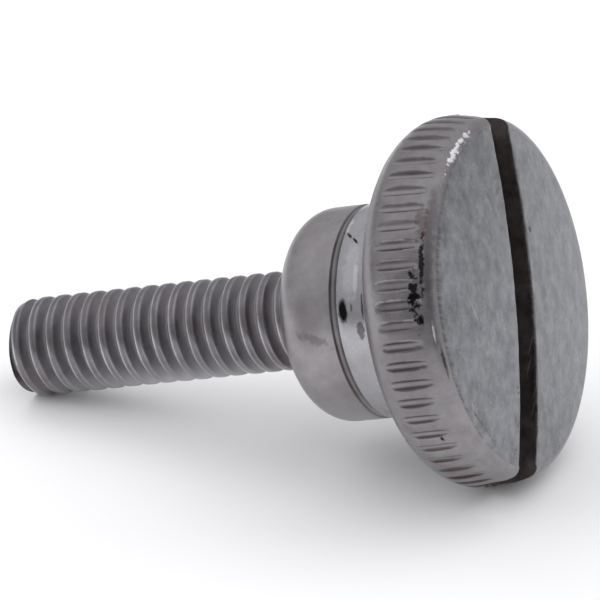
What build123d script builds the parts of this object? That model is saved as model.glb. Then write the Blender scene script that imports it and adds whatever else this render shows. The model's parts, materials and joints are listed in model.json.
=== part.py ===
from build123d import *
import os
from math import asin, atan, degrees, sqrt

# Thumb screw that clamps a sewing foot to its bar: one turned and plated piece, in millimetres.
# It is turned about the Z axis, thread tip at zero and slotted face on top, then laid on its side.

# Threaded shank, plain at the outside diameter of its thread
thread_diameter = 3.95
shank_length = 13.1
tip_chamfer_depth = 0.2
tip_chamfer_length = 0.55

# Collar, whose end ring clamps the foot. It widens a little from its ring line to the head
collar_diameter = 8.44
collar_length = 5.1
collar_corner_radius = 1.4
ring_line_height = 2.85
ring_line_width = 0.22
ring_line_depth = 0.05
neck_flare = 0.08

# Head, a disc with a round shoulder, a crowned rim and a slightly domed face
head_diameter = 14.56
head_height = 3.96
shoulder_width = 1.57
shoulder_height = 1.61
crown_radius = 5.3
dome_radius = 48.0
face_edge_radius = 0.46

# Screwdriver slot, right across the face
slot_width = 1.6
slot_depth = 2.1
slot_angle = -23.7

# Knurl: straight grooves with a narrow floor, which run out at both ends on the crown
groove_count = 58
groove_width = 0.36
groove_floor_width = 0.16
groove_depth = 0.12

# Sizes that follow from those above
thread_radius = thread_diameter / 2
tip_radius = thread_radius - tip_chamfer_depth
collar_radius = collar_diameter / 2
seat_radius = collar_radius - collar_corner_radius
neck_radius = collar_radius + neck_flare
head_radius = head_diameter / 2
shoulder_centre_radius = head_radius - shoulder_width
underside_height = shank_length + collar_length
crown_start_height = underside_height + shoulder_height
apex_height = underside_height + head_height
ring_line_centre = shank_length + ring_line_height
crown_turn = degrees(asin((apex_height - crown_start_height) / crown_radius))


def turned_outline():
    """Half section of the screw, from its axis out to its skin."""
    with BuildSketch(Plane.XZ) as section:
        with BuildLine():
            tip = Polyline(
                (0, 0),
                (tip_radius, 0),
                (thread_radius, tip_chamfer_length),
                (thread_radius, shank_length),
                (seat_radius, shank_length),
            )
            corner = JernArc(tip @ 1, (1, 0), collar_corner_radius, 90)
            Polyline(
                corner @ 1,
                (collar_radius, ring_line_centre - ring_line_width / 2),
                (collar_radius - ring_line_depth, ring_line_centre),
                (collar_radius, ring_line_centre + ring_line_width / 2),
                (neck_radius, underside_height),
                (shoulder_centre_radius, underside_height),
            )
            shoulder = EllipticalCenterArc(
                (shoulder_centre_radius, crown_start_height),
                shoulder_width,
                shoulder_height,
                start_angle=-90,
                arc_size=90,
            )
            crown = JernArc(shoulder @ 1, (0, 1), crown_radius, crown_turn)
            Polyline(crown @ 1, (0, apex_height), (0, 0))
        make_face()
        with Locations((0, apex_height - dome_radius)):
            Circle(dome_radius, mode=Mode.INTERSECT)
        face_edge = section.vertices().sort_by(Axis.Y)[-2]
        fillet(face_edge, face_edge_radius)
    return section.sketch


def knurl_cutters():
    """Wedges along the axis, as far out of the crown as they go in, so each groove is lens-shaped."""
    floor_half_width = groove_floor_width / 2
    outer_half_width = groove_width - floor_half_width
    outline = Polyline(
        (head_radius - groove_depth, -floor_half_width),
        (head_radius + groove_depth, -outer_half_width),
        (head_radius + groove_depth, outer_half_width),
        (head_radius - groove_depth, floor_half_width),
        close=True,
    )
    wedge = Pos(0, 0, underside_height) * extrude(make_face(outline), amount=head_height)
    return [Rot(Z=360 * turn / groove_count) * wedge for turn in range(groove_count)]


def slot_cutter():
    """Flat-bottomed saw cut through the middle of the face."""
    saw = Box(head_diameter + slot_width, slot_width, 2 * slot_depth)
    return Pos(0, 0, apex_height) * Rot(Z=slot_angle) * saw


def resting_tilt():
    """Slope of the axis when the shoulder and a corner of the tip touch one flat surface."""
    slopes = []
    for corner_radius, corner_height in ((tip_radius, 0), (thread_radius, tip_chamfer_length)):
        drop = shoulder_centre_radius - corner_radius
        rise = crown_start_height - corner_height
        spare = rise**2 - shoulder_height**2
        root = sqrt((rise * drop) ** 2 - spare * (drop**2 - shoulder_width**2))
        slopes.append(degrees(atan((rise * drop + root) / spare)))
    return min(slopes)


def laid_down(upright):
    """Head to +X and thread to -X, lowest point at zero and box centred over the origin."""
    tilted = Rot(Y=90 - resting_tilt()) * upright
    box = tilted.bounding_box()
    return Pos(-box.center().X, -box.center().Y, -box.min.Z) * tilted


screw = laid_down(revolve(turned_outline(), Axis.Z) - knurl_cutters() - slot_cutter())
screw.label = "screw"

os.makedirs("parts", exist_ok=True)
export_step(screw, "parts/screw.step")
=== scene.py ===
import json
from math import cos, pi, radians, sin, sqrt

import bmesh
import bpy
import numpy as np
from mathutils import Matrix, Vector


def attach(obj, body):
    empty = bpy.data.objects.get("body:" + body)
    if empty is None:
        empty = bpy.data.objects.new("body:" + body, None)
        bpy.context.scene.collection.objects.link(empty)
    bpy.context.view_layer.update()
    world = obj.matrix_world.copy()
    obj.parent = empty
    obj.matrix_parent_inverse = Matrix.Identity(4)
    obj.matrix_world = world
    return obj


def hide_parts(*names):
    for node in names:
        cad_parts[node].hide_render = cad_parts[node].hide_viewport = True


# Presser foot screw lying on a pale floor: one turned and plated piece with a rolled thread, a
# collar and a knurled, slotted head. Shapes are worked out in millimetres, upright, with the
# thread's tip at zero and the head on top, and the finished mesh is laid down where the frame is.

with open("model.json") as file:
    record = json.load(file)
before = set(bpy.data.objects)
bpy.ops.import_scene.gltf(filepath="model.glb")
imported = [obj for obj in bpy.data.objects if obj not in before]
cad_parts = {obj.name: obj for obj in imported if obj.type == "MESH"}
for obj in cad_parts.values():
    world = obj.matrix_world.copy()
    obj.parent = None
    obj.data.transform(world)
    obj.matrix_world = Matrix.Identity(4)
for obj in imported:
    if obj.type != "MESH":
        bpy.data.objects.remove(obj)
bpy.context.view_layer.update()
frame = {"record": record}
mounts = {mount["name"]: mount for mount in frame["record"]["mounts"]}

METRES = 0.001
rng = np.random.default_rng(seed=58)

# Threaded shank
thread_radius = mounts["thread"]["dims"]["r_mm"]
tip_chamfer_depth = 0.2
tip_chamfer_length = 0.55
tip_radius = thread_radius - tip_chamfer_depth
shank_length = tip_chamfer_length + mounts["thread"]["dims"]["length_mm"]
thread_pitch = 0.794
thread_depth = 0.395
thread_start_turn = 0.895
thread_fade_length = 0.9
thread_end_gap = 0.08
crest_dent_depth = 0.012
uneven_wear_and_sheen = 0.08

# Collar
collar_radius = 4.22
collar_corner_radius = 1.4
collar_length = 5.1
ring_line_height = shank_length + 2.85
ring_line_width = 0.34
ring_line_depth = 0.05
neck_radius = 4.3
neck_fillet = 0.12

# Head
head_radius = 7.28
head_height = 3.96
underside_height = shank_length + collar_length
apex_height = underside_height + head_height
shoulder_width = 1.57
shoulder_height = 1.61
crown_start_height = underside_height + shoulder_height
crown_radius = 5.3
dome_radius = 48.0
face_edge_radius = 0.46

# Screwdriver slot
slot_half_width = 0.8
slot_depth = 2.1
slot_floor_height = apex_height - slot_depth
slot_angle = radians(-23.7)
slot_bevel_width = 0.055
slot_bevel_unevenness = 0.014
slot_edge_wear = (0.75, 0.35)

# Knurl
groove_count = 58
groove_step = 2 * pi / groove_count
groove_depth = 0.12
groove_floor_half_width = 0.11
groove_half_width = 0.22
groove_lip_softness = 0.007

# Painted shade under the shoulder, and dirt and painted shade in the line between the rounded edge and
# the face
shoulder_painted_shade = 0.6
shoulder_shade_top = 18.95
shoulder_shade_fade = 0.25
edge_dark_start = 21.64
edge_dark_fade = 0.1
face_edge_dark_width = 0.16

# Mesh density, with the heights between which the head has finer rows
thread_columns = 96
collar_columns = 232
tip_face_columns = 24
tip_face_radius = 0.7
notch_columns = 25
shoulder_rows, crown_rows, edge_rows = 61, 81, 9
shoulder_row_skip = 7
fine_rows_start = 19.12
fine_rows_end = 21.06
plain_crown_start = 21.1
fine_row_step = 0.062
crown_row_step = 0.07
least_angle_beside_slot = 0.0015
weld_distance = 4e-7
sharp_angle = radians(38)

# The angle, about the axis, of the line along the screw that faces the camera
camera_line_degrees = -110.72

ZONES = ["thread", "satin", "polished", "rim", "face", "slot"]
THREAD, SATIN, POLISHED, RIM, FACE, SLOT = range(len(ZONES))


class Skin:
    """Points and faces of one mesh, with zones, grime and painted shade, wear and painted highlights,
    gathered patch by patch.
    """

    def __init__(self):
        self.points = []
        self.grime_and_shade = []
        self.wear_and_sheen = []
        self.faces = []
        self.zones = []

    def grid(self, points, grime_and_shade, wear_and_sheen=0.0):
        """Adds an array of points shaped rows by columns by 3, and returns their numbers."""
        first = len(self.points)
        shape = points.shape[:-1]
        self.points.extend(points.reshape(-1, 3).tolist())
        self.grime_and_shade.extend(np.broadcast_to(grime_and_shade, shape).ravel().tolist())
        self.wear_and_sheen.extend(np.broadcast_to(wear_and_sheen, shape).ravel().tolist())
        return first + np.arange(len(self.points) - first).reshape(shape)

    def sheet(self, numbers, zone, closed=False):
        """Fills a grid of points with four-sided faces."""
        if closed:
            numbers = np.concatenate([numbers, numbers[:, :1]], axis=1)
        lower, upper = numbers[:-1], numbers[1:]
        quads = np.stack([lower[:, :-1], lower[:, 1:], upper[:, 1:], upper[:, :-1]], axis=-1)
        quads = quads.reshape(-1, 4).tolist()
        self.faces.extend(quads)
        self.zones.extend([zone] * len(quads))

    def zip_rings(self, inner, outer, zone):
        """Joins two closed rings of different counts with triangles, always by the nearer angle."""
        rings = []
        for ring in (inner, outer):
            ring = list(ring)
            angles = [np.arctan2(self.points[n][1], self.points[n][0]) for n in ring]
            start = int(np.argmin(angles))
            ring = ring[start:] + ring[:start]
            angles = sorted(angles)
            rings.append((ring + ring[:1], angles + [angles[0] + 2 * pi]))
        (near, near_angles), (far, far_angles) = rings
        i = j = 0
        while i < len(near) - 1 or j < len(far) - 1:
            last_near, last_far = i == len(near) - 1, j == len(far) - 1
            step_near = last_far or (not last_near and near_angles[i + 1] < far_angles[j + 1])
            if step_near:
                self.faces.append([near[i], near[i + 1], far[j]])
                i += 1
            else:
                self.faces.append([near[i], far[j + 1], far[j]])
                j += 1
            self.zones.append(zone)


def photo_angle(degrees_down):
    """Angle in the upright frame of a place so far below the line that faces the camera."""
    return radians(degrees_down + camera_line_degrees)


def around(radius, angle, height):
    """Points at a radius and angle about the axis, at a height along it."""
    radius, angle, height = np.broadcast_arrays(radius, angle, height)
    return np.stack([radius * np.cos(angle), radius * np.sin(angle), height], axis=-1)


def turned(points, turn):
    """Points turned about the axis."""
    x, y, z = np.moveaxis(points, -1, 0)
    return np.stack([x * cos(turn) - y * sin(turn), x * sin(turn) + y * cos(turn), z], axis=-1)


def arc(centre, radii, start, stop, count):
    """Radius and height pairs along an arc, angles in degrees from outwards to upwards."""
    turn = np.radians(np.linspace(start, stop, count))
    return [(centre[0] + radii[0] * cos(t), centre[1] + radii[1] * sin(t)) for t in turn]


def at_heights(profile, heights):
    """Radius of a profile at each height."""
    radii, levels = zip(*profile)
    return np.interp(heights, levels, radii)


# Thread


def thread_profile():
    """Places across one pitch, from root to root, with the depth of cut and the wear and painted
    highlight at each.
    """
    crest, corner, root, middle_of_root = 0.17, 0.03, 0.4575, 0.5
    half = [
        (0.0, 0.0, 0.0),
        (crest - corner, 0.0, 1.0),
        (crest, 0.025, 1.0),
        (crest + corner, 0.11, 1.0),
        (crest + 2.2 * corner, 0.21, 0.0),
        (root - corner, 0.92, 0.0),
        (root, 0.98, 0.0),
        (middle_of_root, 1.0, 0.0),
    ]
    places, depths, wear_and_sheen = (np.array(values) for values in zip(*half))
    places = np.concatenate([-places[:0:-1], places])
    depths = np.concatenate([depths[:0:-1], depths])
    # Crest corners: partly real wear, partly a painted highlight, stronger on the tip side where the
    # light falls
    tip_side, head_side = 1.0, 0.58
    wear_and_sheen = np.concatenate([tip_side * wear_and_sheen[:0:-1], head_side * wear_and_sheen])
    return places, depths, wear_and_sheen


def add_thread(skin):
    """Threaded shank, with a flat end face, a chamfer and a run-out. Returns its ring at the seat."""
    places, depths, wear_and_sheen = thread_profile()
    turns = int(shank_length / thread_pitch) + 3
    steps = np.concatenate([places[:-1] + turn for turn in range(-2, turns)])
    angle = np.linspace(0, 2 * pi, thread_columns + 1)[None, :]
    lead = thread_start_turn + angle / (2 * pi)
    height = np.clip((steps[:, None] + lead) * thread_pitch, 0, shank_length)
    place = height / thread_pitch - lead
    place = (place + 0.5) % 1 - 0.5
    cut = np.interp(place, places, depths)
    # Painted highlight and wear on the crest corners, a little uneven round the screw
    evenness = 1 - uneven_wear_and_sheen + uneven_wear_and_sheen * np.sin(2 * angle + 0.9 * height)
    wear_and_sheen = np.interp(place, places, wear_and_sheen) * evenness
    fade = np.clip((shank_length - thread_end_gap - height) / thread_fade_length, 0, 1)
    fade = np.sqrt(fade)
    dents = crest_dent_depth * np.sin(3 * angle + 1.9 * height) * np.sin(0.7 * height + 1)
    radius = thread_radius - thread_depth * cut * fade - np.abs(dents) * (1 - cut)
    chamfer = tip_radius + tip_chamfer_depth * height / tip_chamfer_length
    radius = np.minimum(radius, chamfer)
    sheltered = np.clip(height / tip_chamfer_length, 0, 1)
    numbers = skin.grid(around(radius, angle, height), cut * fade * sheltered, wear_and_sheen)
    skin.sheet(numbers, THREAD)
    add_tip_face(skin, numbers[0, :-1])
    return numbers[-1, :-1]


def add_tip_face(skin, tip_ring):
    """Flat end of the shank, from the chamfer's ring in to a small ring and the centre."""
    tip_grime = 0.4
    angle = np.linspace(0, 2 * pi, tip_face_columns, endpoint=False)[None, :]
    middle = skin.grid(around(tip_face_radius, angle, 0.0), tip_grime)[0]
    skin.zip_rings(middle, tip_ring, THREAD)
    centre = skin.grid(np.zeros((1, 1, 3)), tip_grime)[0, 0]
    for first, second in zip(middle, np.roll(middle, -1)):
        skin.faces.append([centre, first, second])
        skin.zones.append(THREAD)


# Collar


def collar_profile():
    """Rows of the collar from its seat to the head's underside: radius, height, grime and zone."""
    seat_inner_radius, seat_gap, seat_grime = 2.1, 0.1, 0.3
    corner_centre = (collar_radius - collar_corner_radius, shank_length + collar_corner_radius)
    seat = np.linspace(seat_inner_radius, corner_centre[0] - seat_gap, 4)
    rows = [(r, shank_length, seat_grime, SATIN) for r in seat]
    corner = arc(corner_centre, (collar_corner_radius,) * 2, -90, 0, 15)
    rows += [(r, s, 0.0, SATIN) for r, s in corner]
    half_line = ring_line_width / 2
    corner_gap, line_gap = 0.15, 0.03
    satin_end = ring_line_height - half_line - line_gap
    for height in np.linspace(corner_centre[1] + corner_gap, satin_end, 6):
        rows.append((collar_radius, height, 0.0, SATIN))
    rows += ring_line()
    neck_end = underside_height - neck_fillet
    for height in np.linspace(ring_line_height + half_line + line_gap, neck_end, 12):
        share = (height - ring_line_height) / (underside_height - ring_line_height)
        rows.append((collar_radius + (neck_radius - collar_radius) * share, height, 0.0, POLISHED))
    fillet_grime, underside_grime = 0.8, 0.3
    fillet = arc((neck_radius + neck_fillet, neck_end), (neck_fillet,) * 2, 180, 90, 5)
    rows += [(r, s, fillet_grime, POLISHED) for r, s in fillet[1:]]
    underside_start, underside_end = 4.7, 5.3
    underside = np.linspace(underside_start, underside_end, 3)
    rows += [(r, underside_height, underside_grime, RIM) for r in underside]
    return rows


def ring_line():
    """Rows of the turned line round the collar: two fine grooves with a low ridge between them."""
    half_line = ring_line_width / 2
    section = [
        (-1.0, 0.06, 0.3, SATIN),
        (-0.72, 1.0, 1.0, SATIN),
        (-0.45, 0.8, 0.75, SATIN),
        (0.0, 0.4, 0.42, SATIN),
        (0.4, 0.8, 0.7, SATIN),
        (0.7, 1.0, 0.9, POLISHED),
        (1.0, 0.06, 0.2, POLISHED),
    ]
    rows = []
    for across, depth, grime_and_shade, zone in section:
        radius = collar_radius - depth * ring_line_depth
        rows.append((radius, ring_line_height + across * half_line, grime_and_shade, zone))
    return rows


def add_collar(skin, seat_ring):
    """Collar from the seat to the head's underside, its dark lines and corners darker on the side that
    faces the camera.
    """
    rows = collar_profile()
    angle = np.linspace(0, 2 * pi, collar_columns, endpoint=False)[None, :]
    radius, height, grime_and_shade, zones = (np.array(values)[:, None] for values in zip(*rows))
    # Darker towards the side that faces the camera
    darkest_side = photo_angle(-15)
    grime_and_shade = grime_and_shade * (0.5 + 0.5 * np.clip(np.cos(angle - darkest_side), 0, 1))
    numbers = skin.grid(around(radius, angle, height), grime_and_shade)
    for lower in range(len(rows) - 1):
        skin.sheet(numbers[lower : lower + 2], int(zones[lower, 0]), closed=True)
    skin.zip_rings(seat_ring, numbers[0], SATIN)
    return numbers[-1]


# Head


def groove_columns():
    """Angles of the mesh columns round the head, closer together at each groove's edges."""
    outside, near_edge, middle_of_wall = -0.32, -0.26, -0.155
    across = [outside, near_edge, -groove_half_width, middle_of_wall, -groove_floor_half_width, 0.0]
    across += [-place for place in across[-2::-1]] + [groove_step / 2 * head_radius]
    turns = np.arange(groove_count)[:, None] * groove_step
    return (turns + np.array(across)[None, :] / head_radius).ravel() % (2 * pi)


def vary_grooves():
    """Depth, width, lean and dirt of each groove. Those that are up are cut deeper near the face."""
    turn = np.arange(groove_count) * groove_step
    top = photo_angle(-60)
    upper_side = np.clip(np.cos(turn - top), 0, 1)
    return {
        "depth": rng.normal(1.0, 0.06, groove_count) * (0.88 + 0.14 * upper_side),
        "width": rng.normal(1.0, 0.04, groove_count),
        "lean": rng.normal(0.0, 0.008, groove_count) - (0.012 + 0.05 * upper_side),
        "dirt": 1 - 0.3 * upper_side + rng.normal(0.0, 0.07, groove_count),
    }


grooves = vary_grooves()


def grooved(radius, angle, height):
    """Radius of the crown and shoulder with the knurl cut in, its dark walls and its worn floor."""
    turn = np.round(angle / groove_step)
    number = turn.astype(int) % groove_count
    aside = head_radius * (angle - turn * groove_step)
    wall_width = groove_half_width - groove_floor_half_width
    up_wall = (np.abs(aside) * grooves["width"][number] - groove_floor_half_width) / wall_width
    depth = groove_depth * grooves["depth"][number]
    floor = head_radius - depth * (1 - np.clip(up_wall, 0, 4))
    floor = floor + grooves["lean"][number] * (height - crown_start_height)
    gap = (radius - floor) / groove_lip_softness
    cut = groove_lip_softness * np.logaddexp(0, gap)

    # Dirt is full where a groove is so many softnesses deep, and the rubbed floor shows likewise
    dirt_where_it_runs_out, dirt_full_gap, floor_full_gap = 0.45, 4, 5
    wall_middle, wall_spread = 0.5, 0.75
    dirt = dirt_where_it_runs_out + (1 - dirt_where_it_runs_out) * gap / dirt_full_gap
    dirt = np.clip(dirt, 0, 1) * grooves["dirt"][number]
    wall = np.exp(-(((up_wall - wall_middle) / wall_spread) ** 2)) * dirt
    bottom = np.clip(1 - np.abs(aside) / groove_floor_half_width, 0, 1)
    bottom = bottom * np.clip(gap / floor_full_gap, 0, 1)
    return radius - cut, wall, bottom


def head_profile():
    """Shoulder, crown and rounded face edge of the head as radius and height pairs, upwards."""
    shoulder_centre = (head_radius - shoulder_width, crown_start_height)
    shoulder = arc(shoulder_centre, (shoulder_width, shoulder_height), -90, 0, shoulder_rows)
    crown_centre = (head_radius - crown_radius, crown_start_height)
    dome_centre = (0.0, apex_height - dome_radius)
    edge_centre = face_edge_centre(crown_centre, dome_centre)
    crown_end = direction_degrees(crown_centre, edge_centre)
    dome_end = direction_degrees(dome_centre, edge_centre)
    crown = arc(crown_centre, (crown_radius,) * 2, 0, crown_end, crown_rows)
    edge = arc(edge_centre, (face_edge_radius,) * 2, crown_end, dome_end, edge_rows)
    return shoulder, crown, edge


def direction_degrees(start, stop):
    """Direction from one point of the section to another, in degrees from outwards to upwards."""
    return np.degrees(np.arctan2(stop[1] - start[1], stop[0] - start[0]))


def face_edge_centre(crown_centre, dome_centre):
    """Centre of the small arc that rounds the edge between crown and dome, from inside both."""
    crown_reach = crown_radius - face_edge_radius
    dome_reach = dome_radius - face_edge_radius
    across = Vector(crown_centre) - Vector(dome_centre)
    along = (dome_reach**2 - crown_reach**2 + across.length**2) / (2 * across.length)
    aside = sqrt(dome_reach**2 - along**2)
    unit = across.normalized()
    point = Vector(dome_centre) + unit * along + Vector((unit.y, -unit.x)) * aside
    return point.x, point.y


def slot_reach(radius):
    """Angle from the slot's middle line to its wall at a radius."""
    return np.arcsin(np.clip(slot_half_width / radius, -1, 1))


def add_head(skin, underside_ring):
    """Knurled head: whole rings up to the slot's floor, then one half on each side of the slot."""
    shoulder, crown, edge = head_profile()
    columns = np.sort((groove_columns() - slot_angle) % (2 * pi))
    reach = slot_reach(edge[-1][0]) + least_angle_beside_slot
    first_half = columns[(columns > reach) & (columns < pi - reach)]
    second_half = columns[(columns > pi + reach) & (columns < 2 * pi - reach)]
    notch_reach = slot_reach(at_heights(crown, slot_floor_height))
    notch = np.linspace(-notch_reach, notch_reach, notch_columns)
    ring = np.concatenate([notch, first_half, pi + notch, second_half])
    numbers = add_lower_head(skin, shoulder, crown, ring)
    skin.zip_rings(underside_ring, numbers[0], RIM)
    second_notch = notch_columns + len(first_half)
    notches = [
        numbers[-1, :notch_columns],
        numbers[-1, second_notch : second_notch + notch_columns],
    ]

    fine = np.arange(slot_floor_height, fine_rows_end, fine_row_step)
    plain = np.linspace(plain_crown_start, crown[-1][1], 6)
    crown_heights = np.concatenate([fine, plain])
    rows = list(zip(at_heights(crown, crown_heights), crown_heights)) + edge[1:]
    walls = []
    for side, between in ((0, first_half), (1, second_half - pi)):
        walls.append(add_half(skin, side, between, rows))
    add_slot(skin, walls, notches)


def add_lower_head(skin, shoulder, crown, ring):
    """Shoulder and lower crown, with fewer rows in the part of the shoulder that has no knurl."""
    rows = [(r, s) for r, s in shoulder if s < fine_rows_start][::shoulder_row_skip]
    fine = np.arange(fine_rows_start, crown_start_height, fine_row_step)
    rows += list(zip(at_heights(shoulder, fine), fine))
    upper = np.arange(crown_start_height, slot_floor_height, crown_row_step)
    rows += list(zip(at_heights(crown, upper), upper))
    rows.append((at_heights(crown, slot_floor_height), slot_floor_height))
    radius, height = (np.array(values)[:, None] for values in zip(*rows))
    radius = radius * np.ones_like(ring)[None, :]
    angle = ring[None, :] + slot_angle
    radius, wall, bottom = grooved(radius, angle, height)
    # Painted shade on the shoulder's underside, below a height, where the head's edge looks dark
    below = np.clip((shoulder_shade_top - height) / shoulder_shade_fade, 0, 1)
    grime_and_shade = np.maximum(wall, shoulder_painted_shade * below)
    numbers = skin.grid(around(radius, angle, height), grime_and_shade, bottom)
    skin.sheet(numbers, RIM, closed=True)
    return numbers


def add_half(skin, side, between, rows):
    """Crown, edge and domed face on one side of the slot. Returns the top line of its wall."""
    turn = slot_angle + side * pi
    radius, height = (np.array(values)[:, None] for values in zip(*rows))
    reach = slot_reach(radius)
    middle = np.broadcast_to(between, (len(rows), len(between)))
    angle = np.concatenate([reach, middle, pi - reach], axis=1)
    radius = np.broadcast_to(radius, angle.shape)
    height = np.broadcast_to(height, angle.shape)
    radius, wall, bottom = grooved(radius, angle + turn, height)
    # Painted shade on the rounded face edge, with dirt in its line
    in_line = np.clip((height - edge_dark_start) / edge_dark_fade, 0, 1)
    grime_and_shade = np.maximum(wall, face_edge_dirt_and_shade(angle + turn) * in_line)
    crown_numbers = skin.grid(around(radius, angle + turn, height), grime_and_shade, bottom)
    skin.sheet(crown_numbers, RIM)
    slot_edge = add_half_face(skin, side, radius[-1], angle[-1], rows[-1][1])
    return np.concatenate([crown_numbers[:-1, 0], slot_edge, crown_numbers[-2::-1, -1]])


def add_half_face(skin, side, outer_radius, outer_angle, outer_height):
    """Face in lines square to the slot, from the rounded edge in to the bevel at the slot."""
    turn = slot_angle + side * pi
    along = outer_radius * np.cos(outer_angle)
    length = outer_radius * np.sin(outer_angle) - slot_half_width
    shares = [1.0, 0.93, 0.86, 0.78, 0.7, 0.62, 0.54, 0.46, 0.38, 0.3, 0.22, 0.15, 0.09, 0.05]
    shares = np.array(shares + [0.028, 0.016, 0.009, 0.004, 0.0])[:, None]
    away = slot_half_width + shares * length
    along = np.broadcast_to(along, away.shape)
    drop = dome_radius - np.sqrt(dome_radius**2 - away**2 - along**2)

    # The bevel fades out at the slot's ends, where the lines are too short to hold it
    shortest, full_bevel_length = 1e-6, 0.4
    bevel = slot_bevel(along, side) * np.clip(length / full_bevel_length, shortest, 1)
    nearness = np.clip(1 - (away - slot_half_width) / bevel, 0, 1)
    sunk = bevel * (1 - np.sqrt(1 - nearness**2)) * (length > shortest)
    heights = apex_height - drop - sunk
    heights[0] = outer_height
    inwards = outer_radius - np.hypot(along, away)
    grime_and_shade = face_edge_dirt_and_shade(outer_angle + turn) * np.clip(1 - inwards / face_edge_dark_width, 0, 1)
    points = np.stack([along, away, heights], axis=-1)
    numbers = skin.grid(turned(points, turn), grime_and_shade, nearness * slot_edge_wear[side])
    skin.sheet(numbers, FACE)
    return numbers[-1]


def face_edge_dirt_and_shade(angle):
    """Dirt in the fine line between the rounded edge and the face, and painted shade on the rounded
    edge, most on the side seen.
    """
    everywhere, on_seen_side = 0.25, 0.65
    darkest_side = photo_angle(-5)
    return everywhere + on_seen_side * np.clip(np.cos(angle - darkest_side), 0, 1) ** 2


def slot_bevel(along, side):
    """Uneven small bevel along the slot's edges, in millimetres, from the saw and from use."""
    wave = np.sin(2.3 * along + 1.7 * side) + 0.6 * np.sin(7.9 * along + 0.8 + side)
    return slot_bevel_width + slot_bevel_unevenness * wave


def add_slot(skin, walls, notches):
    """Walls and floor of the slot, the floor between the two notches in the rim."""
    row_shares = np.array([0.0, 0.06, 0.3, 0.65, 1.0])[:, None]
    least_grime, wear_at_top, wear_fade = 0.4, 0.5, 6
    floor_lines = []
    for top in walls:
        upper = np.array([skin.points[n] for n in top])
        heights = upper[None, :, 2] + (slot_floor_height - upper[None, :, 2]) * row_shares
        flat = np.broadcast_to(upper[None, :, :2], (len(row_shares), len(top), 2))
        points = np.concatenate([flat, heights[:, :, None]], axis=-1)
        grime_and_shade = least_grime + (1 - least_grime) * row_shares
        rubbed = np.clip(wear_at_top - wear_fade * row_shares, 0, 1)
        skin.sheet(skin.grid(points, grime_and_shade, rubbed), SLOT)
        floor_lines.append(points[-1])
    left, right = floor_lines[0], floor_lines[1][::-1]
    across = np.linspace(0, 1, notch_columns)[:, None, None]
    floor = left[None] + (right - left)[None] * across
    first_end, second_end = ([skin.points[n] for n in notch] for notch in notches)
    floor[:, 0] = first_end[::-1]
    floor[:, -1] = second_end
    skin.sheet(skin.grid(floor, 1.0), SLOT)


# Finish

BLACK = (0.012, 0.011, 0.011)
RUST = (0.13, 0.075, 0.06)
# Dark grey for smudges and specks, and for painted shade
SMUDGE_AND_SHADE = (0.13, 0.12, 0.125)
BRIGHT = (0.62, 0.61, 0.63)
# Near white, for painted highlights
PAINTED_HIGHLIGHT = (0.98, 0.97, 0.98)
TINT = (0.2, 0.145, 0.145)

# Patterns: scale per metre, detail and roughness of the noise, which lies between these ends
MOTTLE = (1500, 5.0, 0.68)
GRAIN = (9000, 2.0, 0.6)
CLOUD = (420, 2.0, 0.55)
SPECKLE = (4200, 4.0, 0.75)
RAGGED_EDGE = (3800, 2.5, 0.6)
NOISE_ENDS = (0.3, 0.7)


def opaque(colour):
    return (*colour, 1.0)


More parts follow.
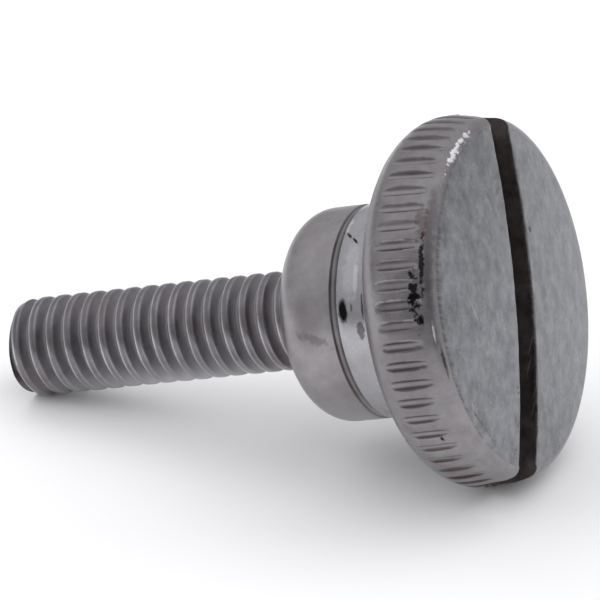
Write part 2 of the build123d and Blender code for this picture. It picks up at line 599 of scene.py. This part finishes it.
class Finish:
    """A material's node tree, with short names for the nodes that its patterns are made of."""

    def __init__(self, name):
        self.material = bpy.data.materials.new(name)
        self.material.use_nodes = True
        self.tree = self.material.node_tree
        self.shader = self.tree.nodes["Principled BSDF"]
        self.place = self.attribute("upright").outputs["Vector"]

    def put(self, value, socket):
        """Gives a socket a plain value, or a link where the value comes from a node."""
        if isinstance(value, bpy.types.NodeSocket):
            self.tree.links.new(value, socket)
        else:
            socket.default_value = value

    def attribute(self, name):
        node = self.tree.nodes.new("ShaderNodeAttribute")
        node.attribute_name = name
        return node

    def maths(self, operation, first, second, clamp=False):
        node = self.tree.nodes.new("ShaderNodeMath")
        node.operation = operation
        node.use_clamp = clamp
        self.put(first, node.inputs[0])
        self.put(second, node.inputs[1])
        return node.outputs[0]

    def span(self, value, low, high, to_low=0.0, to_high=1.0):
        """A value taken from one range to another, and held at its ends."""
        node = self.tree.nodes.new("ShaderNodeMapRange")
        self.put(value, node.inputs["Value"])
        node.inputs["From Min"].default_value = low
        node.inputs["From Max"].default_value = high
        node.inputs["To Min"].default_value = to_low
        node.inputs["To Max"].default_value = to_high
        return node.outputs["Result"]

    def blend(self, share, first, second):
        """A colour between two, so far from the first towards the second."""
        node = self.tree.nodes.new("ShaderNodeMix")
        node.data_type = "RGBA"
        self.put(share, node.inputs["Factor"])
        self.put(first, node.inputs["A"])
        self.put(second, node.inputs["B"])
        return node.outputs["Result"]

    def noise(self, vector, scale, detail, roughness):
        node = self.tree.nodes.new("ShaderNodeTexNoise")
        self.put(vector, node.inputs["Vector"])
        node.inputs["Scale"].default_value = scale
        node.inputs["Detail"].default_value = detail
        node.inputs["Roughness"].default_value = roughness
        return node.outputs["Fac"]

    def stretched(self, scale, turn, centre=(0.0, 0.0, 0.0)):
        """The object's coordinates, moved to a centre, turned and scaled along each direction."""
        node = self.tree.nodes.new("ShaderNodeMapping")
        node.vector_type = "TEXTURE"
        self.put(self.place, node.inputs["Vector"])
        node.inputs["Location"].default_value = [part * METRES for part in centre]
        node.inputs["Rotation"].default_value = turn
        node.inputs["Scale"].default_value = scale
        return node.outputs[0]

    def spot(self, centre, radii, turn, ragged):
        """An oval spot: 1 in its middle and 0 outside its radii, soft where it isn't ragged."""
        local = self.stretched([radius * METRES for radius in radii], turn, centre)
        length = self.tree.nodes.new("ShaderNodeVectorMath")
        length.operation = "LENGTH"
        self.put(local, length.inputs[0])
        distance = length.outputs["Value"]
        if ragged:
            uneven = self.noise(self.place, *RAGGED_EDGE)
            uneven = self.span(uneven, *NOISE_ENDS, -ragged, ragged)
            distance = self.maths("ADD", distance, uneven)
        full_within = 0.6 if ragged else 0.0
        return self.span(distance, 1.0, full_within)

    def bump(self, height, strength, distance, after=None):
        """Fine relief, its distance in millimetres, on top of an earlier relief."""
        node = self.tree.nodes.new("ShaderNodeBump")
        node.inputs["Strength"].default_value = strength
        node.inputs["Distance"].default_value = distance * METRES
        self.put(height, node.inputs["Height"])
        if after is not None:
            self.put(after, node.inputs["Normal"])
        return node.outputs["Normal"]


def plated(zone):
    """Worn nickel plate. Each zone has its own shine, grain, marks and amount of dirt."""
    look = PLATE[zone]
    finish = Finish("plated_" + zone)
    along_slot = (0.0, 0.0, slot_angle)
    mottle = finish.noise(finish.stretched(look["mottle_stretch"], along_slot), *MOTTLE)
    grain = finish.noise(finish.stretched(look["grain_stretch"], along_slot), *GRAIN)
    cloud = finish.noise(finish.place, *CLOUD)
    colour = bare_plate(finish, look, mottle, cloud)

    # This mask holds dirt in the hollows, and painted shade under the shoulder and on the rounded face
    # edge
    dirt = finish.span(finish.attribute("grime_and_shade").outputs["Fac"], 0.2, 0.95, 0.0, look["dirt"])
    patchy = finish.span(cloud, *NOISE_ENDS, 0.7, 1.3)
    dirt = finish.maths("MULTIPLY", dirt, patchy, clamp=True)
    colour = finish.blend(dirt, colour, opaque(look["dirt_colour"]))
    metal = finish.span(dirt, 0.2, 1.0, 1.0, look["dirt_metal"])
    finish.put(metal, finish.shader.inputs["Metallic"])
    for stain, centre, radii, turn, strength, ragged in MARKS[zone]:
        share = finish.maths("MULTIPLY", finish.spot(centre, radii, turn, ragged), strength)
        colour = finish.blend(share, colour, opaque(stain))
        if stain in (BLACK, RUST):
            dirt = finish.maths("MAXIMUM", dirt, share)
    finish.put(colour, finish.shader.inputs["Base Color"])

    dirt_roughness, grain_roughness = 0.3, 0.04
    smoothest, roughest = look["rough"]
    rough = finish.span(mottle, *NOISE_ENDS, smoothest, roughest)
    rough = finish.maths("ADD", rough, finish.maths("MULTIPLY", dirt, dirt_roughness))
    grain_share = finish.span(grain, *NOISE_ENDS, -grain_roughness, grain_roughness)
    rough = finish.maths("ADD", rough, grain_share)
    finish.put(rough, finish.shader.inputs["Roughness"])
    mottle_relief, grain_relief = 0.05, 0.01
    normal = finish.bump(mottle, look["mottle_bump"], mottle_relief)
    normal = finish.bump(grain, look["grain_bump"], grain_relief, normal)
    finish.put(normal, finish.shader.inputs["Normal"])
    return finish.material


def bare_plate(finish, look, mottle, cloud):
    """Colour of the plate before dirt and marks: mottled, tinted, speckled, and rubbed bright or given
    a painted highlight.
    """
    speckle = finish.noise(finish.place, *SPECKLE)
    mottled = finish.span(mottle, 0.35, 0.65)
    colour = finish.blend(mottled, opaque(look["dark"]), opaque(look["light"]))
    tinted = finish.span(cloud, 0.52, 0.7, 0.0, look["tint"])
    colour = finish.blend(tinted, colour, opaque(TINT))
    speckled = finish.span(speckle, 0.6, 0.72, 0.0, look["speckle"])
    colour = finish.blend(speckled, colour, opaque(SMUDGE_AND_SHADE))
    glinting = finish.span(speckle, 0.4, 0.3, 0.0, look["glint"])
    colour = finish.blend(glinting, colour, opaque(BRIGHT))
    # Worn places, and painted highlights such as the thread's crest corners
    worn_and_sheen = finish.attribute("wear_and_sheen").outputs["Fac"]
    worn_and_sheen = finish.span(worn_and_sheen, look["wear_start"], 1.0, 0.0, look["wear_and_sheen"])
    worn_and_sheen = finish.maths("MULTIPLY", worn_and_sheen, finish.span(mottle, 0.35, 0.6, 0.6, 1.0), clamp=True)
    return finish.blend(worn_and_sheen, colour, opaque(look["worn_and_sheen"]))


# What the zones have in common, and then what is a zone's own. Colours are light and dark plate,
# dirt, and worn places with painted highlights. Rough is the least and the most roughness. The rest
# are shares
COMMON = {
    "dirt": 0.85, "dirt_metal": 0.8, "wear_and_sheen": 0.0, "wear_start": 0.0, "worn_and_sheen": BRIGHT,
    "mottle_stretch": (1, 1, 1), "grain_stretch": (1, 1, 1),
}
PLATE = {
    "thread": COMMON | {
        "light": (0.225, 0.215, 0.23), "dark": (0.175, 0.163, 0.175), "tint": 0.25,
        "dirt_colour": (0.27, 0.25, 0.265), "dirt_metal": 0.35,
        "wear_and_sheen": 1.0, "wear_start": 0.4, "worn_and_sheen": (0.66, 0.65, 0.67), "speckle": 0.25, "glint": 0.1,
        "rough": (0.29, 0.39), "mottle_bump": 0.15, "grain_bump": 0.2,
    },
    "satin": COMMON | {
        "light": (0.385, 0.367, 0.378), "dark": (0.315, 0.298, 0.305), "tint": 0.3,
        "dirt_colour": (0.05, 0.045, 0.045), "speckle": 0.12, "glint": 0.06,
        "rough": (0.33, 0.43), "grain_stretch": (1, 1, 0.5), "mottle_bump": 0.1,
        "grain_bump": 0.35,
    },
    "polished": COMMON | {
        "light": (0.43, 0.43, 0.445), "dark": (0.37, 0.365, 0.38), "tint": 0.15,
        "dirt_colour": (0.05, 0.045, 0.045), "speckle": 0.1, "glint": 0.1,
        "rough": (0.19, 0.29), "mottle_bump": 0.12, "grain_bump": 0.12,
    },
    "rim": COMMON | {
        "light": (0.325, 0.312, 0.322), "dark": (0.25, 0.235, 0.243), "tint": 0.2,
        "dirt_colour": (0.085, 0.06, 0.06), "dirt_metal": 0.9,
        "wear_and_sheen": 0.6, "wear_start": 0.25, "worn_and_sheen": (0.36, 0.325, 0.33), "speckle": 0.3, "glint": 0.05,
        "rough": (0.28, 0.4), "mottle_bump": 0.18, "grain_bump": 0.2,
    },
    "face": COMMON | {
        "light": (0.30, 0.305, 0.32), "dark": (0.15, 0.155, 0.165), "tint": 0.06,
        "dirt": 0.7, "dirt_colour": (0.06, 0.055, 0.055), "wear_and_sheen": 0.8, "speckle": 1.0, "glint": 0.3,
        "rough": (0.31, 0.45), "mottle_stretch": (1.2, 1, 1), "grain_stretch": (3, 0.9, 1),
        "mottle_bump": 0.12, "grain_bump": 0.25,
    },
    "slot": COMMON | {
        "light": (0.24, 0.21, 0.2), "dark": (0.12, 0.095, 0.09), "tint": 0.3,
        "dirt": 0.8, "dirt_colour": (0.07, 0.058, 0.055), "dirt_metal": 0.6,
        "wear_and_sheen": 0.6, "worn_and_sheen": (0.3, 0.3, 0.3), "speckle": 0.2, "glint": 0.3,
        "rough": (0.32, 0.52), "grain_stretch": (3, 1, 1), "mottle_bump": 0.3, "grain_bump": 0.4,
    },
}


def round_mark(stain, radius, height, below, half_round, half_high, strength, ragged, lean=0.0):
    """A mark on a turned surface, so many degrees below the line that faces the camera."""
    angle = photo_angle(below)
    centre = (radius * cos(angle), radius * sin(angle), height)
    half_deep = 0.6 if ragged else 2.5
    turn = (radians(lean), 0, angle)
    return stain, centre, (half_deep, half_round, half_high), turn, strength, ragged


def face_mark(stain, start, stop, half_width, strength, ragged):
    """A streak on the face between two places, each along the slot and aside of it."""
    half_deep = 0.6
    start, stop = (turned(np.array([*place, apex_height]), slot_angle) for place in (start, stop))
    centre = (start + stop) / 2
    across = stop - start
    half_length = np.hypot(across[0], across[1]) / 2
    turn = (0, 0, np.arctan2(across[1], across[0]))
    return stain, centre, (half_length, half_width, half_deep), turn, strength, ragged


def slot_scratch(along, depth):
    """A fine slanted scratch on the slot's wall, so far along the slot and down from the face."""
    half_length, half_deep, half_width = 0.5, 0.3, 0.02
    slant, strength, ragged = radians(19), 0.6, 0.1
    centre = turned(np.array([along, slot_half_width, apex_height - depth]), slot_angle)
    turn = (0, slant, slot_angle)
    return BRIGHT, centre, (half_length, half_deep, half_width), turn, strength, ragged


# Wear, dirt and stains, with painted highlights, painted reflections of the floor, and broad soft
# painted light and shade where it is paler or darker
MARKS = {
    # Smudge near the ring line, and a painted reflection of the pale floor on the underside
    "satin": [
        round_mark(SMUDGE_AND_SHADE, 4.2, 14.9, 11.4, 0.2, 0.85, 0.5, 0.45, -25),
        round_mark(SMUDGE_AND_SHADE, 4.2, 14.7, 8.0, 0.7, 0.9, 0.35, 0.0, -25),
        # Painted reflection of the pale floor on the underside
        round_mark(BRIGHT, 4.0, 15.4, 84, 2.6, 2.6, 0.75, 0.0),
    ],
    # Painted highlights in bright bands, the black spot, the dark squiggle above it, a smudge below
    # it, and a painted reflection of the pale floor on the underside
    "polished": [
        # Painted highlights: bright bands on the upper side
        round_mark(BRIGHT, 4.25, 16.72, -24, 1.5, 0.40, 0.35, 0.25),
        round_mark(BRIGHT, 4.23, 16.14, -54.5, 0.5, 0.2, 1.0, 0.3),
        round_mark(BRIGHT, 4.25, 16.7, -62.0, 1.4, 0.8, 0.35, 0.0),
        round_mark(BRIGHT, 4.25, 16.95, -17.7, 0.78, 0.12, 0.75, 0.2),
        round_mark(BLACK, 4.24, 16.37, -2.0, 0.56, 0.24, 1.0, 0.12),
        round_mark(BLACK, 4.25, 16.37, -45.6, 0.26, 0.07, 0.9, 0.3, 42),
        round_mark(BLACK, 4.26, 16.7, -41.5, 0.28, 0.06, 0.9, 0.3, 42),
        round_mark(RUST, 4.25, 16.75, -3.2, 0.2, 0.08, 0.8, 0.3),
        round_mark(BLACK, 4.27, 17.23, -3.0, 0.55, 0.06, 0.8, 0.2),
        round_mark(SMUDGE_AND_SHADE, 4.27, 17.05, 9.0, 0.42, 0.2, 0.9, 0.35),
        # Painted reflection of the pale floor on the underside
        round_mark(BRIGHT, 4.2, 16.9, 66, 3.0, 1.6, 0.75, 0.0),
    ],
    # Black dirt on the crown near the face, with a rusty end, painted highlights on the rounded edge,
    # a painted lighter top and painted shade lower down and on the edge band
    "rim": [
        # Painted light on the top of the rim, and painted shade lower down, where it faces the camera
        round_mark(BRIGHT, 7.0, 20.6, -80.0, 3.0, 2.5, 0.1, 0.0),
        round_mark(SMUDGE_AND_SHADE, 7.1, 20.3, 20.0, 3.2, 2.0, 0.6, 0.0),
        # Painted shade on the band between the knurl and the face
        round_mark(SMUDGE_AND_SHADE, 6.75, 21.45, -20.0, 2.8, 0.24, 0.6, 0.2),
        round_mark(BLACK, 7.0, 20.92, -3.5, 1.1, 0.2, 0.95, 0.75),
        round_mark(BLACK, 6.85, 21.25, -13.0, 1.2, 0.11, 0.9, 0.6),
        round_mark(BLACK, 7.1, 20.84, -2.4, 0.34, 0.22, 1.0, 0.5),
        round_mark(BLACK, 6.95, 21.1, 4.2, 0.3, 0.14, 1.0, 0.5),
        round_mark(RUST, 6.95, 21.16, -26.9, 0.8, 0.3, 0.4, 0.5),
        # Painted highlights along the rounded edge
        round_mark(PAINTED_HIGHLIGHT, 6.68, 21.60, -59.3, 1.45, 0.08, 1.0, 0.6),
        round_mark(PAINTED_HIGHLIGHT, 6.7, 21.48, 8.0, 0.66, 0.045, 0.8, 0.2),
        round_mark(BLACK, 6.64, 21.6, 18.0, 0.8, 0.06, 0.7, 0.2),
        round_mark(BLACK, 7.1, 20.5, 45.0, 0.14, 0.1, 0.9, 0.4),
    ],
    # Stain near the edge, small spots, two nicks at the slot, light streaks and a pale patch
    "face": [
        face_mark(SMUDGE_AND_SHADE, (3.9, -5.0), (6.2, -2.1), 0.5, 0.5, 0.0),
        face_mark(RUST, (4.1, -5.0), (6.2, -2.1), 0.05, 0.6, 0.35),
        face_mark(RUST, (-2.75, 1.12), (-2.45, 1.2), 0.09, 0.9, 0.4),
        face_mark(SMUDGE_AND_SHADE, (-1.9, 4.45), (-1.3, 4.6), 0.05, 0.8, 0.4),
        face_mark(SMUDGE_AND_SHADE, (-4.2, -2.3), (-3.4, -1.8), 0.12, 0.6, 0.6),
        face_mark(SMUDGE_AND_SHADE, (-3.9, -1.5), (-4.3, -0.95), 0.1, 0.6, 0.6),
        face_mark(BLACK, (3.45, -1.0), (3.86, -0.96), 0.07, 0.8, 0.2),
        face_mark(BRIGHT, (3.55, -0.98), (3.78, -0.98), 0.03, 1.0, 0.1),
        face_mark(BLACK, (5.85, -1.12), (6.2, -1.12), 0.07, 0.8, 0.2),
        face_mark(BRIGHT, (5.95, -1.12), (6.12, -1.12), 0.03, 1.0, 0.1),
        face_mark(BRIGHT, (0.0, -4.6), (1.2, -3.8), 0.04, 0.35, 0.3),
        face_mark(BRIGHT, (-1.0, -3.1), (5.2, -3.0), 0.5, 0.12, 0.0),
        face_mark(SMUDGE_AND_SHADE, (-0.5, 1.7), (1.4, 2.0), 0.4, 0.3, 0.0),
        face_mark(BRIGHT, (-6.9, -1.0), (-6.2, -0.84), 0.09, 0.8, 0.2),
    ],
    "slot": [
        slot_scratch(1.9, 0.3),
        slot_scratch(2.7, 0.45),
        slot_scratch(3.6, 0.25),
        slot_scratch(4.3, 0.4),
        slot_scratch(5.0, 0.2),
        slot_scratch(5.9, 0.35),
    ],
    # Rust and shade at the tip, and a painted reflection of the pale floor on the underside
    "thread": [
        round_mark(RUST, 1.9, 0.25, 40, 1.3, 0.3, 0.35, 0.3),
        round_mark(SMUDGE_AND_SHADE, 1.9, 0.4, -15, 2.4, 0.7, 0.25, 0.0),
        # Painted reflection of the pale floor on the underside
        round_mark(BRIGHT, 2.0, 6.8, 82, 1.5, 9.5, 0.85, 0.0),
    ],
}


# Screw, laid where the frame's own screw lies


def lying_place():
    """Matrix that takes the upright screw to the frame: its thread mount gives axis and place."""
    mount = mounts["thread"]
    axis = -Vector(mount["axis"]).normalized()
    middle = shank_length - mount["dims"]["length_mm"] / 2
    tip = Vector(mount["pos_m"]) - axis * middle * METRES
    side = Vector((0, 1, 0))
    turn = Matrix((side.cross(axis), side, axis)).transposed()
    return Matrix.Translation(tip) @ turn.to_4x4()


def add_attribute(mesh, name, kind, field, values):
    """Keeps a number or a vector for each point, which the materials read."""
    attribute = mesh.attributes.new(name, kind, "POINT")
    attribute.data.foreach_set(field, np.asarray(values, np.float32).ravel())


def weld(mesh):
    """Joins the patches where their edges meet, and turns every face outwards."""
    shape = bmesh.new()
    shape.from_mesh(mesh)
    bmesh.ops.remove_doubles(shape, verts=shape.verts, dist=weld_distance)
    bmesh.ops.recalc_face_normals(shape, faces=shape.faces)
    shape.to_mesh(mesh)
    shape.free()


def build_screw():
    skin = Skin()
    seat_ring = add_thread(skin)
    underside_ring = add_collar(skin, seat_ring)
    add_head(skin, underside_ring)
    points = np.array(skin.points) * METRES
    mesh = bpy.data.meshes.new("plated_screw")
    mesh.from_pydata(points.tolist(), [], skin.faces)
    for zone in ZONES:
        mesh.materials.append(plated(zone))
    mesh.polygons.foreach_set("material_index", skin.zones)
    add_attribute(mesh, "grime_and_shade", "FLOAT", "value", skin.grime_and_shade)
    add_attribute(mesh, "wear_and_sheen", "FLOAT", "value", skin.wear_and_sheen)
    add_attribute(mesh, "upright", "FLOAT_VECTOR", "vector", points)
    weld(mesh)
    mesh.transform(lying_place())
    mesh.shade_smooth()
    mesh.set_sharp_from_angle(angle=sharp_angle)
    screw = bpy.data.objects.new("plated_screw", mesh)
    bpy.context.scene.collection.objects.link(screw)
    return screw


screw = build_screw()
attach(screw, "root")
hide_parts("screw")


# Floor, light and camera

FLOOR_SIZE = 0.6
FLOOR_COLOUR = (0.86, 0.86, 0.865)
FLOOR_ROUGHNESS = 0.9

STUDIO_GREY_BELOW = 0.46
STUDIO_GREY_ABOVE = 0.90
STUDIO_BLUENESS = 1.03
BACKDROP_GREY = 0.9

# The studio is darker where the photographer stood: fully within one cosine, not past the other
DARK_SIDE = (0.355, -0.832, 0.426)
DARK_SIDE_STARTS = 0.45
DARK_SIDE_IS_FULL = 0.95
DARK_SIDE_LIGHT = 0.45

LAMP_DISTANCE = 0.42
LAMP_SIZE = 0.4
LAMP_WATTS = 0.52
LAMP_RISE = 1.25

CAMERA_AZIMUTH = radians(23.12)
CAMERA_ELEVATION = radians(25.20)
CAMERA_ROLL = radians(-0.80)
CAMERA_DISTANCE = 0.2814
CAMERA_AIM = Vector((-1.358, 4.980, 3.349)) * METRES
LENS_MM = 420
SENSOR_MM = 36


def add_floor():
    bpy.ops.mesh.primitive_plane_add(size=FLOOR_SIZE, location=(0, 0, 0))
    floor = bpy.context.object
    floor.name = "floor"
    material = bpy.data.materials.new("pale_floor")
    material.use_nodes = True
    shader = material.node_tree.nodes["Principled BSDF"]
    shader.inputs["Base Color"].default_value = opaque(FLOOR_COLOUR)
    shader.inputs["Roughness"].default_value = FLOOR_ROUGHNESS
    shader.inputs["Specular IOR Level"].default_value = 0.0
    floor.data.materials.append(material)


def add_world():
    """Grey studio, lighter overhead. The camera itself sees a plain pale backdrop."""
    world = bpy.data.worlds.new("studio")
    world.use_nodes = True
    tree = world.node_tree
    mirrored = tree.nodes["Background"]
    place = tree.nodes.new("ShaderNodeTexCoord")
    light = tree.nodes.new("ShaderNodeVectorMath")
    light.operation = "SCALE"
    tree.links.new(studio_grey(tree, place), light.inputs[0])
    tree.links.new(photographer_shade(tree, place), light.inputs["Scale"])
    tree.links.new(light.outputs["Vector"], mirrored.inputs["Color"])
    backdrop = tree.nodes.new("ShaderNodeBackground")
    backdrop.inputs["Color"].default_value = opaque((BACKDROP_GREY,) * 3)
    rays = tree.nodes.new("ShaderNodeLightPath")
    mix = tree.nodes.new("ShaderNodeMixShader")
    tree.links.new(rays.outputs["Is Camera Ray"], mix.inputs[0])
    tree.links.new(mirrored.outputs[0], mix.inputs[1])
    tree.links.new(backdrop.outputs[0], mix.inputs[2])
    tree.links.new(mix.outputs[0], tree.nodes["World Output"].inputs["Surface"])
    bpy.context.scene.world = world


def studio_grey(tree, place):
    """Grey from the horizon to straight overhead, and the grey of the horizon below it."""
    split = tree.nodes.new("ShaderNodeSeparateXYZ")
    ramp = tree.nodes.new("ShaderNodeValToRGB")
    for element, grey in zip(ramp.color_ramp.elements, (STUDIO_GREY_BELOW, STUDIO_GREY_ABOVE)):
        element.color = opaque((grey, grey, grey * STUDIO_BLUENESS))
    tree.links.new(place.outputs["Generated"], split.inputs[0])
    tree.links.new(split.outputs["Z"], ramp.inputs["Fac"])
    return ramp.outputs["Color"]


def photographer_shade(tree, place):
    """Share of the light that is left in each direction, least where the photographer stood."""
    facing = tree.nodes.new("ShaderNodeVectorMath")
    facing.operation = "DOT_PRODUCT"
    facing.inputs[1].default_value = DARK_SIDE
    shade = tree.nodes.new("ShaderNodeMapRange")
    shade.interpolation_type = "SMOOTHSTEP"
    shade.inputs["From Min"].default_value = DARK_SIDE_STARTS
    shade.inputs["From Max"].default_value = DARK_SIDE_IS_FULL
    shade.inputs["To Min"].default_value = 1.0
    shade.inputs["To Max"].default_value = DARK_SIDE_LIGHT
    tree.links.new(place.outputs["Generated"], facing.inputs[0])
    tree.links.new(facing.outputs["Value"], shade.inputs["Value"])
    return shade.outputs["Result"]


def add_lamp(name, towards):
    """Soft square lamp in a direction, facing the screw and not mirrored in it."""
    lamp = bpy.data.lights.new(name, "AREA")
    lamp.shape = "RECTANGLE"
    lamp.size = lamp.size_y = LAMP_SIZE
    lamp.energy = LAMP_WATTS
    holder = bpy.data.objects.new(name, lamp)
    bpy.context.scene.collection.objects.link(holder)
    direction = Vector(towards).normalized()
    holder.location = direction * LAMP_DISTANCE
    holder.visible_glossy = False
    holder.rotation_mode = "QUATERNION"
    holder.rotation_quaternion = direction.to_track_quat("Z", "Y")


def add_camera():
    """Long lens from the photograph's angle: azimuth from the front, elevation and roll."""
    level = cos(CAMERA_ELEVATION)
    toward = Vector((sin(CAMERA_AZIMUTH) * level, -cos(CAMERA_AZIMUTH) * level, sin(CAMERA_ELEVATION)))
    data = bpy.data.cameras.new("camera")
    data.sensor_width = SENSOR_MM
    data.lens = LENS_MM
    data.clip_start, data.clip_end = 0.01, 10
    camera = bpy.data.objects.new("camera", data)
    bpy.context.scene.collection.objects.link(camera)
    camera.rotation_mode = "QUATERNION"
    upright = toward.to_track_quat("Z", "Y").to_matrix()
    camera.rotation_quaternion = (upright @ Matrix.Rotation(CAMERA_ROLL, 3, "Z")).to_quaternion()
    camera.location = CAMERA_AIM + toward * CAMERA_DISTANCE
    bpy.context.scene.camera = camera


add_floor()
add_world()
for depth, y in (("front", -1), ("back", 1)):
    for side, x in (("left", -1), ("right", 1)):
        add_lamp(f"{depth}_{side}", (x, y, LAMP_RISE))
add_camera()
bpy.context.scene.view_settings.view_transform = "Standard"
